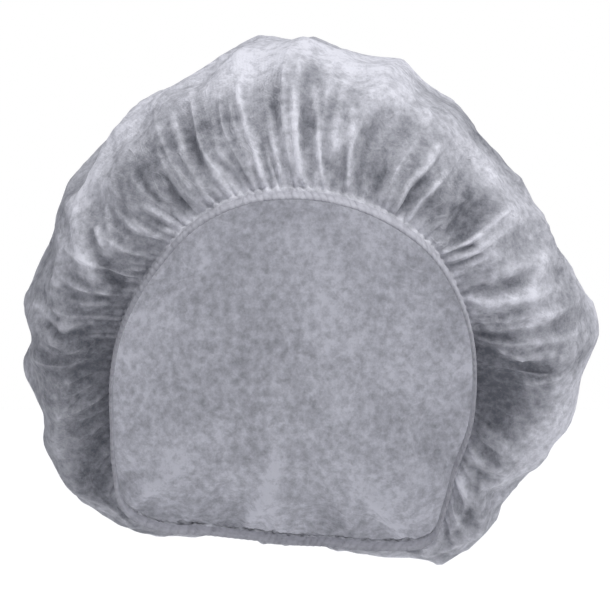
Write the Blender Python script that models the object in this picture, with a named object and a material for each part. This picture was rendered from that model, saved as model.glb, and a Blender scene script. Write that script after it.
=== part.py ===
# A crimp cap: the round, gathered nonwoven cap worn in clinics and kitchens, in its worn form.
# One sheet of cloth is bunched into an elastic hem that runs all round the opening. The top of
# the hem is called the brow here, and its lowest stretch the nape.
#
# The origin is the centre of the hem's loop. +X is to the right as seen from the front, +Y runs
# from the brow to the back of the cap, and +Z is up.
# Clock angles go round the opening as on a dial: 0 at the brow, 90 on +X, 180 at the nape.

import math
from bisect import bisect_right
from typing import NamedTuple

import bmesh
import bpy
from mathutils import Vector

# Driving sizes, in metres
OPENING_WIDTH = 0.159  # hem to hem, from side to side
OPENING_HEIGHT = 0.153  # how far the hem at the nape lies below the hem at the brow
OPENING_DEPTH = 0.120  # how far the hem at the nape lies behind the hem at the brow
PUFF_STAND_OUT = 0.073  # how far the crown stands up past the hem at the brow
WIDEST_BEHIND_BROW = 0.072  # where the crown is fullest, behind the hem at the brow
WIDEST_BEHIND_NAPE = 0.012  # the same, behind the hem at the nape, where it lies furthest down
CROWN_DEPTH = 0.202  # hem at the brow to the back of the crown
BACK_RISE = 0.026  # the crown's hindmost point above the hem's centre
OVERHANG = 0.016  # how far the puff rolls forward past the hem at the sides
CLOTH_WALL = 0.001
HEM_WIDTH = 0.006
HEM_THICKNESS = 0.002
HEM_GAP = 0.0003  # between the hem and the edge of the crown
COLLAR_LENGTH = 0.0025  # cloth that runs on behind the hem before it turns outwards
GATHER_DEPTH = 0.0026  # half the height of a full gather, crest to valley
FOLD_DEPTH = 0.0026  # half the height of a full fold

# Steps for measuring a direction on the surface
TURN_STEP = 0.5  # degrees of clock
SHARE_STEP = 0.004  # of a meridian

# Mesh fineness
COLUMNS_PER_GATHER = 4
CROWN_ROWS = 14
HEM_COLUMNS = 88
HEM_SIDES = 10

# Shares of a meridian, from 0 at the hem to 1 at the back of the crown
COLLAR_END = 0.03
WIDEST_AT = 0.45
GATHER_FULL_AT = 0.12
GATHER_FADES_AT = 0.18
GATHER_ENDS_AT = 0.44
FOLD_FULL_AT = 0.36
FOLD_FADES_AT = 0.48
FOLD_ENDS_AT = 0.85
ROW_CROWDING = 1.25  # above 1, the rows lie closer together near the hem
BACK_FULLNESS = 0.88  # below 1, the back of the crown is fuller than a quarter ellipse
CREST_ROUNDNESS = 0.9  # below 1, crests are sharper than valleys

NAPE_GATHERS = 9
NAPE_GATHER_DEPTH = 0.5
NAPE_GATHER_REACH = 0.5


class Section(NamedTuple):
    """The crown's outline at one clock angle, as shares of the named sizes."""

    clock: float
    hem: float  # the hem's distance from the centre, over that of the plain ellipse
    stand_out: float  # over PUFF_STAND_OUT
    overhang: float  # over OVERHANG


class Gather(NamedTuple):
    """A narrow crest that starts at the hem."""

    clock: float
    depth: float  # over GATHER_DEPTH
    reach: float  # how far up the crown it runs, over the longest


class Fold(NamedTuple):
    """A broad crest that shows as a corner of the crown's outline."""

    clock: float
    depth: float  # over FOLD_DEPTH


SECTIONS = (
    Section(0, 1.05, 1.00, 0.35),
    Section(15, 1.05, 0.96, 0.35),
    Section(30, 1.05, 0.85, 0.40),
    Section(45, 1.05, 0.74, 0.50),
    Section(60, 1.03, 0.74, 0.65),
    Section(75, 1.015, 0.81, 0.85),
    Section(90, 1.01, 0.73, 1.00),
    Section(105, 1.03, 0.55, 0.90),
    Section(120, 1.06, 0.38, 0.60),
    Section(131, 1.15, 0.30, 0.35),
    Section(141, 1.24, 0.15, 0.15),
    Section(152, 1.14, 0.06, 0.05),
    Section(166, 1.02, 0.05, 0.00),
    Section(180, 0.98, 0.04, 0.00),
    Section(195, 0.98, 0.04, 0.00),
    Section(210, 1.05, 0.04, 0.00),
    Section(222, 1.18, 0.06, 0.05),
    Section(232, 1.23, 0.12, 0.20),
    Section(243, 1.14, 0.32, 0.45),
    Section(256, 1.05, 0.47, 0.75),
    Section(270, 1.01, 0.55, 0.95),
    Section(285, 0.99, 0.65, 0.85),
    Section(300, 0.98, 0.70, 0.65),
    Section(315, 0.99, 0.78, 0.50),
    Section(330, 1.03, 0.83, 0.40),
    Section(345, 1.05, 0.91, 0.35),
)

FRONT_GATHERS = (
    Gather(2, 0.9, 0.9),
    Gather(9.5, 1.0, 0.9),
    Gather(16.5, 0.8, 0.7),
    Gather(26.5, 1.0, 0.9),
    Gather(35, 0.9, 0.8),
    Gather(42, 0.5, 0.4),
    Gather(49, 0.9, 0.6),
    Gather(55.5, 0.7, 0.6),
    Gather(65.5, 1.0, 0.9),
    Gather(75, 0.9, 0.9),
    Gather(83, 0.8, 0.6),
    Gather(92, 0.5, 0.5),
    Gather(100, 0.5, 0.4),
    Gather(109, 0.7, 0.7),
    Gather(118, 0.6, 0.6),
    Gather(127, 0.6, 0.7),
    Gather(136, 0.5, 0.6),
    Gather(238, 0.5, 0.5),
    Gather(247, 0.6, 0.5),
    Gather(256, 0.5, 0.5),
    Gather(264, 0.8, 0.8),
    Gather(272, 0.6, 0.6),
    Gather(279.5, 1.0, 0.9),
    Gather(286.5, 0.6, 0.5),
    Gather(293, 0.8, 0.8),
    Gather(300, 0.9, 0.7),
    Gather(307.5, 0.9, 0.8),
    Gather(315, 0.8, 0.6),
    Gather(321, 0.9, 0.7),
    Gather(329, 0.6, 0.5),
    Gather(338, 1.0, 0.8),
    Gather(345.5, 0.8, 0.9),
    Gather(351, 0.8, 0.7),
    Gather(356, 0.6, 0.5),
)

FOLDS = (
    Fold(3, 0.7),
    Fold(18, 0.8),
    Fold(29, 0.6),
    Fold(46, 0.6),
    Fold(58, 0.5),
    Fold(80, 1.0),
    Fold(98, 0.6),
    Fold(126, 0.6),
    Fold(139, 0.5),
    Fold(160, 0.3),
    Fold(185, 0.3),
    Fold(212, 0.3),
    Fold(231, 0.5),
    Fold(251, 0.6),
    Fold(271.5, 0.8),
    Fold(287, 0.9),
    Fold(313, 0.9),
    Fold(329, 0.6),
    Fold(354, 0.7),
)


def all_gathers():
    """The gathers along the front, with even ones along the nape, in clock order."""
    before = max(g.clock for g in FRONT_GATHERS if g.clock < 180)
    after = min(g.clock for g in FRONT_GATHERS if g.clock > 180)
    step = (after - before) / (NAPE_GATHERS + 1)
    nape = [
        Gather(before + step * (i + 1), NAPE_GATHER_DEPTH, NAPE_GATHER_REACH)
        for i in range(NAPE_GATHERS)
    ]
    return sorted([*FRONT_GATHERS, *nape])


def place_between(rows, clock):
    """The rows on each side of a clock angle, and the share of the way between them."""
    clock %= 360
    clocks = [row.clock for row in rows]
    after = bisect_right(clocks, clock) % len(rows)
    low, high = rows[after - 1], rows[after]
    span = (high.clock - low.clock) % 360
    return after, low, high, ((clock - low.clock) % 360) / span


def smooth_value(rows, column, clock):
    """A column of a table at any clock angle, on a smooth closed curve through its rows."""
    after, low, high, share = place_between(rows, clock)
    before, beyond = rows[after - 2], rows[(after + 1) % len(rows)]
    span = (high.clock - low.clock) % 360

    def slope(first, last):
        run = (last.clock - first.clock) % 360
        return (getattr(last, column) - getattr(first, column)) / run * span

    start, end = getattr(low, column), getattr(high, column)
    s2, s3 = share * share, share**3
    return (
        (2 * s3 - 3 * s2 + 1) * start
        + (s3 - 2 * s2 + share) * slope(before, high)
        + (3 * s2 - 2 * s3) * end
        + (s3 - s2) * slope(low, beyond)
    )


def ease(share):
    """0 up to 0, 1 from 1, and a smooth step between."""
    share = min(max(share, 0.0), 1.0)
    return share * share * (3 - 2 * share)


def crest(share):
    """1 on a crest, -1 in the valley halfway to the next, with a sharp top and a round floor."""
    return 1 - 2 * math.sin(math.pi * share) ** CREST_ROUNDNESS


def hem_point(clock):
    """A point on the centre line of the elastic hem."""
    angle = math.radians(clock)
    reach = smooth_value(SECTIONS, "hem", clock)
    return Vector(
        (
            math.sin(angle) * reach * OPENING_WIDTH / 2,
            -math.cos(angle) * OPENING_DEPTH / 2,
            math.cos(angle) * reach * OPENING_HEIGHT / 2,
        )
    )


def hem_directions(clock):
    """Unit vectors at the hem: across its width, into the crown, and away from the opening."""
    along = (hem_point(clock + TURN_STEP) - hem_point(clock - TURN_STEP)).normalized()
    into_crown = Vector((0, OPENING_HEIGHT, OPENING_DEPTH))
    into_crown = (into_crown - along * into_crown.dot(along)).normalized()
    return into_crown, along.cross(into_crown)


def collar(clock, share):
    """The short run of cloth behind the hem."""
    into_crown, away = hem_directions(clock)
    start = hem_point(clock) + into_crown * (HEM_WIDTH / 2 + HEM_GAP)
    return start + away * (HEM_THICKNESS / 2) + into_crown * COLLAR_LENGTH * share


def widest_point(clock):
    """Where the crown stands out furthest at a clock angle."""
    angle = math.radians(clock)
    hem = hem_point(clock)
    reach = PUFF_STAND_OUT * smooth_value(SECTIONS, "stand_out", clock)
    behind = (WIDEST_BEHIND_BROW + WIDEST_BEHIND_NAPE) / 2
    behind += (WIDEST_BEHIND_BROW - WIDEST_BEHIND_NAPE) / 2 * math.cos(angle)
    return hem + Vector((math.sin(angle) * reach, behind, math.cos(angle) * reach))


def smooth_crown(clock, share):
    """A point on the crown's outer face before it is gathered and folded."""
    if share <= COLLAR_END:
        return collar(clock, share / COLLAR_END)
    widest = widest_point(clock)
    if share <= WIDEST_AT:
        start = collar(clock, 1)
        turn = (share - COLLAR_END) / (WIDEST_AT - COLLAR_END) * math.pi / 2
        out, back = math.sin(turn), 1 - math.cos(turn)
        roll = OVERHANG * smooth_value(SECTIONS, "overhang", clock) * math.sin(2 * turn)
        return Vector(
            (
                start.x + (widest.x - start.x) * out,
                start.y + (widest.y - start.y) * back - roll,
                start.z + (widest.z - start.z) * out,
            )
        )
    pole = Vector((0, CROWN_DEPTH - OPENING_DEPTH / 2, BACK_RISE))
    turn = (share - WIDEST_AT) / (1 - WIDEST_AT) * math.pi / 2
    inwards = max(math.cos(turn), 0.0) ** BACK_FULLNESS
    back = math.sin(turn) ** BACK_FULLNESS
    return Vector(
        (
            pole.x + (widest.x - pole.x) * inwards,
            widest.y + (pole.y - widest.y) * back,
            pole.z + (widest.z - pole.z) * inwards,
        )
    )


def outward_normal(clock, share):
    """The direction square to the smooth crown, outwards."""
    share = min(max(share, COLLAR_END + SHARE_STEP), 1 - 2 * SHARE_STEP)
    around = smooth_crown(clock + TURN_STEP, share) - smooth_crown(clock - TURN_STEP, share)
    along = smooth_crown(clock, share + SHARE_STEP) - smooth_crown(clock, share - SHARE_STEP)
    return around.cross(along).normalized()


def relief(gathers, clock, share):
    """How far gathers and folds lift the cloth off the smooth crown."""
    _, low, high, between = place_between(gathers, clock)
    blend = ease(between)
    depth = low.depth + (high.depth - low.depth) * blend
    reach = low.reach + (high.reach - low.reach) * blend
    gather = ease((share - COLLAR_END) / (GATHER_FULL_AT - COLLAR_END))
    gather *= 1 - ease((share / reach - GATHER_FADES_AT) / (GATHER_ENDS_AT - GATHER_FADES_AT))
    _, low, high, across = place_between(FOLDS, clock)
    height = low.depth + (high.depth - low.depth) * ease(across)
    fold = ease((share - COLLAR_END) / (FOLD_FULL_AT - COLLAR_END))
    fold *= 1 - ease((share - FOLD_FADES_AT) / (FOLD_ENDS_AT - FOLD_FADES_AT))
    return GATHER_DEPTH * depth * gather * crest(between) + FOLD_DEPTH * height * fold * crest(across)


def crown_point(gathers, clock, share):
    """A point on the crown's outer face."""
    lift = relief(gathers, clock, share)
    return smooth_crown(clock, share) + outward_normal(clock, share) * lift


def column_clocks(gathers):
    """The clock angle of each column, so that every crest and valley has one."""
    clocks = []
    for low, high in zip(gathers, gathers[1:] + gathers[:1]):
        span = (high.clock - low.clock) % 360
        for i in range(COLUMNS_PER_GATHER):
            clocks.append(low.clock + span * i / COLUMNS_PER_GATHER)
    return clocks


def material(name, colour, roughness):
    """A plain cloth finish."""
    made = bpy.data.materials.new(name)
    made.use_nodes = True
    shader = made.node_tree.nodes["Principled BSDF"]
    shader.inputs["Base Color"].default_value = (*colour, 1)
    shader.inputs["Roughness"].default_value = roughness
    shader.inputs["Metallic"].default_value = 0
    return made


def finished_object(name, mesh, finish):
    """An object from a bmesh, shaded smooth, in the scene."""
    data = bpy.data.meshes.new(name)
    mesh.to_mesh(data)
    mesh.free()
    data.shade_smooth()
    data.materials.append(finish)
    made = bpy.data.objects.new(name, data)
    bpy.context.scene.collection.objects.link(made)
    return made


def crown(finish):
    """The gathered sheet. Half a globe is pulled into shape: its equator is the edge at the hem."""
    gathers = all_gathers()
    clocks = column_clocks(gathers)
    mesh = bmesh.new()
    bmesh.ops.create_uvsphere(
        mesh, u_segments=len(clocks), v_segments=2 * CROWN_ROWS, radius=1
    )
    below_equator = -0.5 / CROWN_ROWS
    unwanted = [v for v in mesh.verts if v.co.z < below_equator]
    bmesh.ops.delete(mesh, geom=unwanted, context="VERTS")
    for vertex in mesh.verts:
        longitude = math.atan2(vertex.co.x, vertex.co.y) / math.tau
        column = round(longitude * len(clocks)) % len(clocks)
        latitude = math.asin(max(-1.0, min(1.0, vertex.co.z)))
        row = round(latitude / (math.pi / 2) * CROWN_ROWS)
        share = (row / CROWN_ROWS) ** ROW_CROWDING
        vertex.co = crown_point(gathers, clocks[column], share)
    bmesh.ops.recalc_face_normals(mesh, faces=mesh.faces)
    made = finished_object("crown", mesh, finish)
    wall = made.modifiers.new("cloth_wall", "SOLIDIFY")
    wall.thickness = CLOTH_WALL
    wall.offset = -1
    wall.use_even_offset = False
    return made


def elastic_hem(finish):
    """The narrow hem with the elastic in it: a flattened tube along the opening."""
    mesh = bmesh.new()
    bmesh.ops.create_grid(mesh, x_segments=HEM_COLUMNS, y_segments=HEM_SIDES, size=1)
    for vertex in mesh.verts:
        clock = (vertex.co.x + 1) / 2 * 360
        side = (vertex.co.y + 1) / 2 * math.tau
        into_crown, away = hem_directions(clock)
        vertex.co = (
            hem_point(clock)
            + into_crown * math.sin(side) * HEM_WIDTH / 2
            + away * math.cos(side) * HEM_THICKNESS / 2
        )
    bmesh.ops.remove_doubles(mesh, verts=mesh.verts, dist=HEM_THICKNESS / 50)
    bmesh.ops.recalc_face_normals(mesh, faces=mesh.faces)
    return finished_object("elastic_hem", mesh, finish)


def main():
    for old in list(bpy.data.objects):
        bpy.data.objects.remove(old)
    crown(material("nonwoven_cloth", (0.60, 0.60, 0.65), 0.85))
    elastic_hem(material("hem_cloth", (0.66, 0.66, 0.71), 0.8))


main()
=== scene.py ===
# %% [markdown]
# A crimp cap is one disc of very thin nonwoven cloth whose edge is bunched into a narrow
# elastic hem. When it is worn, the hem grips all round and the spare cloth puffs out behind it.
# This lesson dresses the plain solids of such a cap: the same forms come back with finer
# gathers, a cloth finish, a studio and a camera.

import math
import random
from bisect import bisect_right
from typing import NamedTuple

import bmesh
import bpy
from mathutils import Matrix, Vector, noise


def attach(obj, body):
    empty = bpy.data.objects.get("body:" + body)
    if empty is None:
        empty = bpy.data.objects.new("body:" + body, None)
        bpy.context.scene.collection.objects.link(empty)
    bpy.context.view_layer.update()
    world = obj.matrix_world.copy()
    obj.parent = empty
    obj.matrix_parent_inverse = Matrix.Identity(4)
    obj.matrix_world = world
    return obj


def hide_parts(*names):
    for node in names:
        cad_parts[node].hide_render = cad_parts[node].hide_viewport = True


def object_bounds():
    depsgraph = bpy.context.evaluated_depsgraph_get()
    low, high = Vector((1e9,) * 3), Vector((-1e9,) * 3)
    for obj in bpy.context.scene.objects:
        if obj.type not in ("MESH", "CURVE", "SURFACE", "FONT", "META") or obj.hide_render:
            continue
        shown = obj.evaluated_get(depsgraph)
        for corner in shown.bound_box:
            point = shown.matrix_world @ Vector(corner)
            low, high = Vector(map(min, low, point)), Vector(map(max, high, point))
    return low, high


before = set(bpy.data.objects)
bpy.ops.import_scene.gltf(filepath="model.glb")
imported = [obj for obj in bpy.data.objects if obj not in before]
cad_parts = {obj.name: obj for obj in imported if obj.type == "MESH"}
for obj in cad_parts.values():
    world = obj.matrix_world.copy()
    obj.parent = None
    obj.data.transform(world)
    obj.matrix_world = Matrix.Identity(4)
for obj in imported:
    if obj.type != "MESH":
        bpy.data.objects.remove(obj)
solid_low, solid_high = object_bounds()
print("solids:", [round(v, 4) for v in solid_low], "to", [round(v, 4) for v in solid_high])

# %% [markdown]
# The photograph is a square one, taken from straight in front. One of its pixels covers a known
# length at the cap's origin, and that sets both the lens and where the camera stands. The cap
# is lit by a broad lamp above and to the right, and the world fills the shadows.

# %% Camera
PHOTO_PIXELS = 610
PIXEL_SIZE = 0.000442  # what a pixel covers at the origin, in metres
ORIGIN_AT_PIXEL = (293, 382)
CAMERA_DISTANCE = 1.3
SENSOR = 36.0  # mm


def place_camera():
    """A camera that sees the cap as the photograph does."""
    data = bpy.data.cameras.new("camera")
    data.sensor_width = SENSOR
    data.lens = SENSOR * CAMERA_DISTANCE / (PHOTO_PIXELS * PIXEL_SIZE)
    data.clip_start = 0.05
    made = bpy.data.objects.new("camera", data)
    right = (PHOTO_PIXELS / 2 - ORIGIN_AT_PIXEL[0]) * PIXEL_SIZE
    up = (ORIGIN_AT_PIXEL[1] - PHOTO_PIXELS / 2) * PIXEL_SIZE
    made.location = (right, -CAMERA_DISTANCE, up)
    made.rotation_euler = (math.pi / 2, 0, 0)
    bpy.context.scene.collection.objects.link(made)
    bpy.context.scene.camera = made
    return data.lens


print("lens:", round(place_camera(), 1), "mm")

# %% Lamp and world
LAMP_STRENGTH = 3.0
LAMP_SPREAD = 30  # degrees; a wide lamp has soft shadows
LAMP_FROM = Vector((0.38, -0.62, 1.0))  # towards the lamp
FILL_STRENGTH = 0.42


def light_studio():
    """One broad lamp, and a plain white world that is dimmer as a light than as a backdrop."""
    lamp = bpy.data.lights.new("key_lamp", "SUN")
    lamp.energy = LAMP_STRENGTH
    lamp.angle = math.radians(LAMP_SPREAD)
    made = bpy.data.objects.new("key_lamp", lamp)
    made.rotation_euler = LAMP_FROM.to_track_quat("Z", "Y").to_euler()
    bpy.context.scene.collection.objects.link(made)
    world = bpy.data.worlds.new("studio")
    world.use_nodes = True
    nodes, links = world.node_tree.nodes, world.node_tree.links
    nodes.clear()
    fill = nodes.new("ShaderNodeBackground")
    fill.inputs["Color"].default_value = (0.93, 0.95, 1.0, 1)
    fill.inputs["Strength"].default_value = FILL_STRENGTH
    backdrop = nodes.new("ShaderNodeBackground")
    backdrop.inputs["Color"].default_value = (1, 1, 1, 1)
    seen = nodes.new("ShaderNodeLightPath")
    mix = nodes.new("ShaderNodeMixShader")
    output = nodes.new("ShaderNodeOutputWorld")
    links.new(seen.outputs["Is Camera Ray"], mix.inputs["Fac"])
    links.new(fill.outputs["Background"], mix.inputs[1])
    links.new(backdrop.outputs["Background"], mix.inputs[2])
    links.new(mix.outputs["Shader"], output.inputs["Surface"])
    bpy.context.scene.world = world
    bpy.context.scene.view_settings.view_transform = "Standard"


light_studio()

# %% Floor
FLOOR_BELOW_CAP = 0.25
FLOOR_RADIUS = 9.0
FLOOR_SIDES = 96


def finished_object(name, mesh):
    """An object from a bmesh, shaded smooth, in the scene."""
    data = bpy.data.meshes.new(name)
    mesh.to_mesh(data)
    mesh.free()
    data.shade_smooth()
    made = bpy.data.objects.new(name, data)
    bpy.context.scene.collection.objects.link(made)
    return made


def lay_floor():
    """A plain pale floor, well below the cap."""
    mesh = bmesh.new()
    bmesh.ops.create_circle(mesh, cap_ends=True, segments=FLOOR_SIDES, radius=FLOOR_RADIUS)
    bmesh.ops.translate(mesh, verts=mesh.verts, vec=(0, 0, solid_low.z - FLOOR_BELOW_CAP))
    made = finished_object("floor", mesh)
    finish = bpy.data.materials.new("pale_floor")
    finish.use_nodes = True
    shader = finish.node_tree.nodes["Principled BSDF"]
    shader.inputs["Base Color"].default_value = (0.93, 0.93, 0.93, 1)
    shader.inputs["Roughness"].default_value = 0.9
    made.data.materials.append(finish)


lay_floor()
print("floor:", FLOOR_BELOW_CAP, "metres below the cap")

# %% [markdown]
# The crown's form is told by a few sizes and three tables. A section gives the outline at one
# clock angle round the opening: 0 at the top, 90 to the right, 180 at the bottom. A gather is a
# narrow crest that starts at the hem, and a fold is a broad one that makes a corner in the
# outline. A surface could also be sculpted by hand, but tables are quicker to correct.

# %% Sizes of the cap
OPENING_WIDTH = 0.159
OPENING_HEIGHT = 0.153
OPENING_DEPTH = 0.120  # how far the hem's bottom lies behind its top
PUFF_STAND_OUT = 0.073  # how far the crown stands out past the hem at the top
WIDEST_BEHIND_TOP = 0.072  # where the crown is widest, behind the hem at the top
WIDEST_BEHIND_BOTTOM = 0.012  # and behind the hem at the bottom
CROWN_DEPTH = 0.202
BACK_RISE = 0.026
OVERHANG = 0.016  # how far the puff rolls forward past the hem at the sides
HEM_WIDTH = 0.006
HEM_THICKNESS = 0.002
SHEET_RADIUS = 0.2415  # the cloth is cut as a disc of 483 mm, sold as 19 inches
COLLAR_LENGTH = 0.0025  # cloth that runs on behind the hem before it turns outwards
HEM_INSET = 0.1  # where in the hem the crown starts, as a share of the hem's own size
BACK_FULLNESS = 0.88  # a power; below 1, the back is fuller than a quarter ellipse
COLLAR_END = 0.03  # a share of a meridian, which runs from 0 at the hem to 1 at the back
WIDEST_AT = 0.45
print("flat disc:", 2 * SHEET_RADIUS, "metres across")


# %% Tables of the form
class Section(NamedTuple):
    """The crown's outline at one clock angle, as shares of the named sizes."""

    clock: float
    hem: float
    stand_out: float
    overhang: float


class Gather(NamedTuple):
    """A narrow crest that starts at the hem."""

    clock: float
    depth: float
    reach: float


class Fold(NamedTuple):
    """A broad crest that shows in the outline."""

    clock: float
    depth: float


def table(kind, *rows):
    """A table with each of its rows as one of a kind."""
    return tuple(kind(*row) for row in rows)


SECTIONS = table(
    Section,
    (0, 1.05, 1.0, 0.35),
    (15, 1.05, 0.96, 0.35),
    (30, 1.05, 0.85, 0.4),
    (45, 1.05, 0.74, 0.5),
    (60, 1.03, 0.74, 0.65),
    (75, 1.015, 0.81, 0.85),
    (90, 1.01, 0.73, 1.0),
    (105, 1.03, 0.55, 0.9),
    (120, 1.06, 0.38, 0.6),
    (131, 1.15, 0.3, 0.35),
    (141, 1.24, 0.15, 0.15),
    (152, 1.14, 0.06, 0.05),
    (166, 1.02, 0.05, 0.0),
    (180, 0.98, 0.04, 0.0),
    (195, 0.98, 0.04, 0.0),
    (210, 1.05, 0.04, 0.0),
    (222, 1.18, 0.06, 0.05),
    (232, 1.23, 0.12, 0.2),
    (243, 1.14, 0.32, 0.45),
    (256, 1.05, 0.47, 0.75),
    (270, 1.01, 0.55, 0.95),
    (285, 0.99, 0.65, 0.85),
    (300, 0.98, 0.7, 0.65),
    (315, 0.99, 0.78, 0.5),
    (330, 1.03, 0.83, 0.4),
    (345, 1.05, 0.91, 0.35),
)

GATHERS = table(
    Gather,
    (2, 0.4, 0.9),
    (9.5, 0.4, 0.9),
    (16.5, 0.4, 0.7),
    (26.5, 0.4, 0.9),
    (35, 0.4, 0.8),
    (42, 0.2, 0.4),
    (49, 0.4, 0.6),
    (55.5, 0.3, 0.6),
    (65.5, 0.4, 0.9),
    (75, 0.4, 0.9),
    (83, 0.4, 0.6),
    (92, 0.1, 0.5),
    (100, 0.2, 0.4),
    (109, 0.7, 0.7),
    (118, 0.6, 0.6),
    (127, 0.6, 0.7),
    (136, 0.5, 0.6),
    (146, 0.5, 0.5),
    (157, 0.5, 0.5),
    (167, 0.4, 0.5),
    (177, 0.5, 0.5),
    (187, 0.5, 0.5),
    (197, 0.4, 0.5),
    (207, 0.5, 0.5),
    (217, 0.5, 0.5),
    (228, 0.5, 0.5),
    (238, 0.15, 0.4),
    (247, 0.1, 0.4),
    (256, 0.1, 0.4),
    (264, 0.2, 0.5),
    (272, 0.45, 0.6),
    (279.5, 0.4, 0.8),
    (286.5, 0.3, 0.6),
    (293, 0.4, 0.8),
    (300, 0.4, 0.7),
    (307.5, 0.4, 0.8),
    (315, 0.4, 0.6),
    (321, 0.4, 0.7),
    (329, 0.3, 0.5),
    (338, 0.4, 0.8),
    (345.5, 0.4, 0.9),
    (351, 0.4, 0.7),
    (356, 0.3, 0.5),
)

FOLDS = table(
    Fold,
    (3, 0.7),
    (18, 0.8),
    (29, 0.6),
    (46, 0.6),
    (58, 0.5),
    (80, 1.0),
    (98, 0.6),
    (126, 0.6),
    (139, 0.5),
    (160, 0.3),
    (185, 0.3),
    (212, 0.3),
    (231, 0.5),
    (251, 0.6),
    (271.5, 0.8),
    (287, 0.9),
    (313, 0.9),
    (329, 0.6),
    (354, 0.7),
)
print("tables:", len(SECTIONS), "sections,", len(GATHERS), "gathers,", len(FOLDS), "folds")


# %% Read a table at any clock angle
def rows_round(rows, clock):
    """The row's number after a clock angle, the rows on each side, and the share between."""
    clock %= 360
    after = bisect_right(rows, clock, key=lambda row: row.clock) % len(rows)
    low, high = rows[after - 1], rows[after]
    return after, low, high, ((clock - low.clock) % 360) / ((high.clock - low.clock) % 360)


def smooth_value(rows, column, clock):
    """A column of a table at any clock angle, on a smooth closed curve through its rows."""
    after, low, high, share = rows_round(rows, clock)
    before, beyond = rows[after - 2], rows[(after + 1) % len(rows)]
    span = (high.clock - low.clock) % 360

    def slope(first, last):
        run = (last.clock - first.clock) % 360
        return (getattr(last, column) - getattr(first, column)) / run * span

    s2, s3 = share * share, share**3
    return (
        (2 * s3 - 3 * s2 + 1) * getattr(low, column)
        + (s3 - 2 * s2 + share) * slope(before, high)
        + (3 * s2 - 2 * s3) * getattr(high, column)
        + (s3 - s2) * slope(low, beyond)
    )


def ease(value, start=0.0, end=1.0):
    """0 up to the start, 1 from the end, and a smooth step between."""
    share = min(max((value - start) / (end - start), 0.0), 1.0)
    return share * share * (3 - 2 * share)


def turn_between(first, last):
    """The shorter turn from one clock angle to another, below 0 if it runs anticlockwise."""
    return (last - first + 180) % 360 - 180


def near_angle(clock, middle, reach):
    """1 at a middle clock angle, and smoothly down to 0 at its reach on either side."""
    return 1 - ease(abs(turn_between(middle, clock)), 0, reach)


# %% The hem's line
def hem_point(clock):
    """A point on the centre line of the elastic hem."""
    angle = math.radians(clock)
    reach = smooth_value(SECTIONS, "hem", clock)
    return Vector(
        (
            math.sin(angle) * reach * OPENING_WIDTH / 2,
            -math.cos(angle) * OPENING_DEPTH / 2,
            math.cos(angle) * reach * OPENING_HEIGHT / 2,
        )
    )


def hem_directions(clock):
    """Unit vectors at the hem: one across its width, into the crown, and one outwards."""
    along = (hem_point(clock + 0.5) - hem_point(clock - 0.5)).normalized()
    into_crown = Vector((0, OPENING_HEIGHT, OPENING_DEPTH))
    into_crown = (into_crown - along * into_crown.dot(along)).normalized()
    return into_crown, along.cross(into_crown)


# %% The crown's smooth form
def meridian(clock):
    """A function that gives the smooth crown's point at any share of one meridian."""
    angle = math.radians(clock)
    hem = hem_point(clock)
    into_crown, away = hem_directions(clock)
    inset = away * HEM_THICKNESS * HEM_INSET
    edge = hem + into_crown * HEM_WIDTH * HEM_INSET + inset
    turned = hem + into_crown * (HEM_WIDTH / 2 + COLLAR_LENGTH) + inset
    reach = PUFF_STAND_OUT * smooth_value(SECTIONS, "stand_out", clock)
    overhang = OVERHANG * smooth_value(SECTIONS, "overhang", clock)
    behind = (WIDEST_BEHIND_TOP + WIDEST_BEHIND_BOTTOM) / 2
    behind += (WIDEST_BEHIND_TOP - WIDEST_BEHIND_BOTTOM) / 2 * math.cos(angle)
    widest = hem + Vector((math.sin(angle) * reach, behind, math.cos(angle) * reach))
    back = Vector((0, CROWN_DEPTH - OPENING_DEPTH / 2, BACK_RISE))

    def point(share):
        if share <= COLLAR_END:
            return edge.lerp(turned, share / COLLAR_END)
        if share <= WIDEST_AT:
            turn = (share - COLLAR_END) / (WIDEST_AT - COLLAR_END) * math.pi / 2
            outwards, backwards = math.sin(turn), 1 - math.cos(turn)
            place = turned.lerp(widest, outwards)
            place.y = turned.y + (widest.y - turned.y) * backwards - overhang * math.sin(2 * turn)
            return place
        turn = (share - WIDEST_AT) / (1 - WIDEST_AT) * math.pi / 2
        place = back.lerp(widest, max(math.cos(turn), 0.0) ** BACK_FULLNESS)
        place.y = widest.y + (back.y - widest.y) * math.sin(turn) ** BACK_FULLNESS
        return place

    return point


print("widest on the right:", [round(v, 3) for v in meridian(90)(WIDEST_AT)])

# %% [markdown]
# The crown starts as a flat grid. Its columns run from the hem to the back of the cap and its
# rows run round the opening, so two of its sides are joined and a third closes to a point at the
# back. The columns crowd together at each gather, which a pinched crest needs. They sag and
# wander a little as they run, and the gathers do so with them. Each point also keeps its place
# on the flat disc that the cloth was cut as, so that the cloth's pattern is gathered too.

# %% Start the crown
COLUMNS_PER_GATHER = 16
CROWN_ROWS = 128
ROW_CROWDING = 1.15  # a power; above 1, the rows lie closer together near the hem
COLUMN_CROWDING = 0.5
MERIDIANS_PER_DEGREE = 2
SAG = 7.0  # degrees that the cloth swings down at the sides
LEAN = 4.5  # degrees that it leans to the left at the top
WANDER = 1.6  # degrees, times a noise that runs from about -1 to 1
WANDER_FULL_AT = 0.12
WANDER_FADES_AT = 0.45
WANDER_ENDS_AT = 0.75
SAME_POINT = 1e-6


def column_clocks():
    """Clock angles of the columns at the hem, close together beside each gather."""
    clocks = []
    for low, high in zip(GATHERS, GATHERS[1:] + GATHERS[:1]):
        span = (high.clock - low.clock) % 360
        for i in range(COLUMNS_PER_GATHER):
            share = i / COLUMNS_PER_GATHER
            share -= COLUMN_CROWDING * math.sin(math.tau * share) / math.tau
            clocks.append(low.clock + span * share)
    return clocks


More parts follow.
